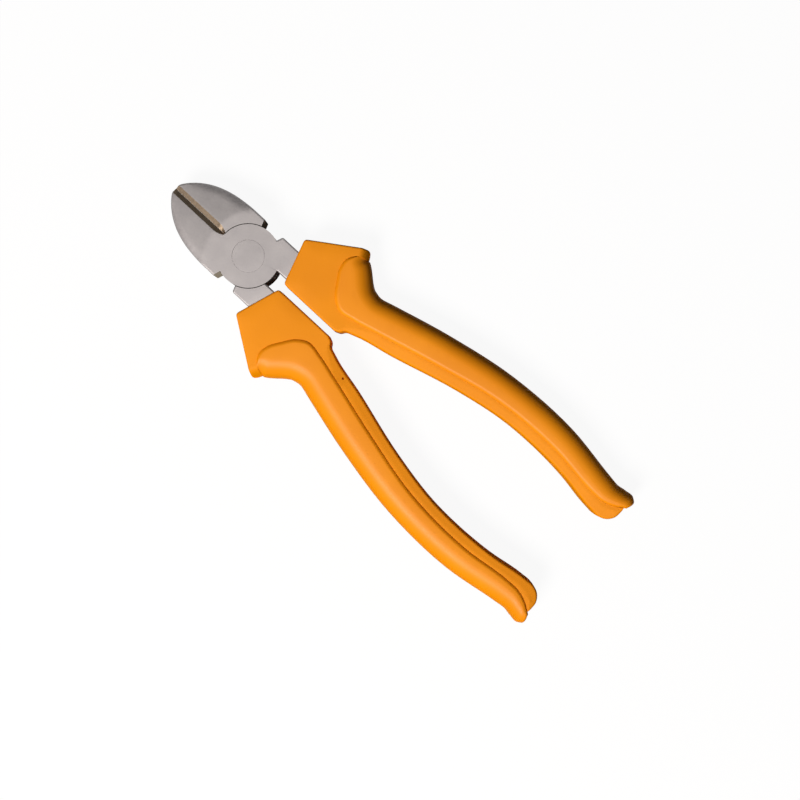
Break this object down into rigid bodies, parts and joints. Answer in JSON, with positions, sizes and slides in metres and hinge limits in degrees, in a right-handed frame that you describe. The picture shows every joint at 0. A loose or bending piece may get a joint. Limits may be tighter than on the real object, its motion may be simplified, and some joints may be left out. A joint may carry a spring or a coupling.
{
  "type": "diagonal cutter",
  "caption": "Lap-joint diagonal cutter: crowned bevel-ground jaws on a flush rivet, with curved two-part orange grips that flare at the collar and at the handle ends.",
  "frame": {"origin": "on the rivet's axis, in the rear face of the joint", "axes": "+X from the rivet towards the handle ends, +Y towards the handle of the front half, +Z from the rear face to the front face"},
  "size_m": [0.1806, 0.0624, 0.0144],
  "materials": {
    "steel": "forged and ground, satin",
    "rivet_steel": "ground flush, satin",
    "grip_core": "moulded orange, satin",
    "grip_pad": "moulded orange, satin"
  },
  "bodies": {
    "front_side": {"front_half": "steel", "rivet": "rivet_steel", "right_grip_core": "grip_core", "right_grip_pad": "grip_pad"},
    "rear_side": {"rear_half": "steel", "left_grip_core": "grip_core", "left_grip_pad": "grip_pad"}
  },
  "joints": [
    {"name": "jaw_hinge", "type": "hinge", "parent": "front_side", "child": "rear_side", "pos_m": [0, 0, 0.0052], "axis": [0, 0, -1], "range_deg": [0, 36]}
  ]
}
